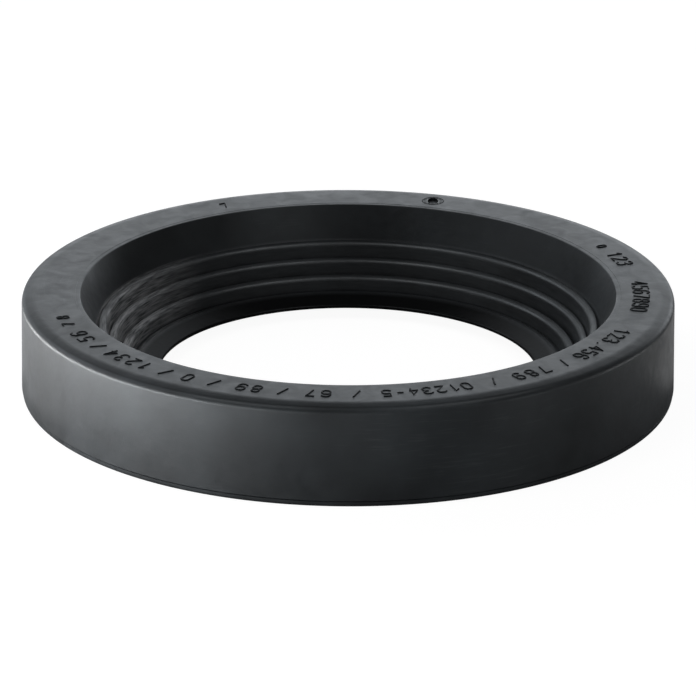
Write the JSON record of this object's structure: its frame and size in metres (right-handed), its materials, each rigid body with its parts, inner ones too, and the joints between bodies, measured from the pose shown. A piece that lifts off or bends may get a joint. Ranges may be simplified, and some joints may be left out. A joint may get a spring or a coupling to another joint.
{
  "type": "rubber sealing ring",
  "caption": "Black rubber sealing ring with a straight wall, a wide entry cone, stepped inner sealing lips and a thin fin round its hole, for a waste pipe.",
  "frame": {"origin": "middle of the ring, on the plane of its underside", "axes": "+Z along the ring's axis, out of its wide mouth"},
  "size_m": [0.1428, 0.1428, 0.022],
  "materials": {
    "rubber": "satin moulded black rubber"
  },
  "bodies": {
    "root": {"sealing_ring": "rubber"}
  },
  "joints": []
}
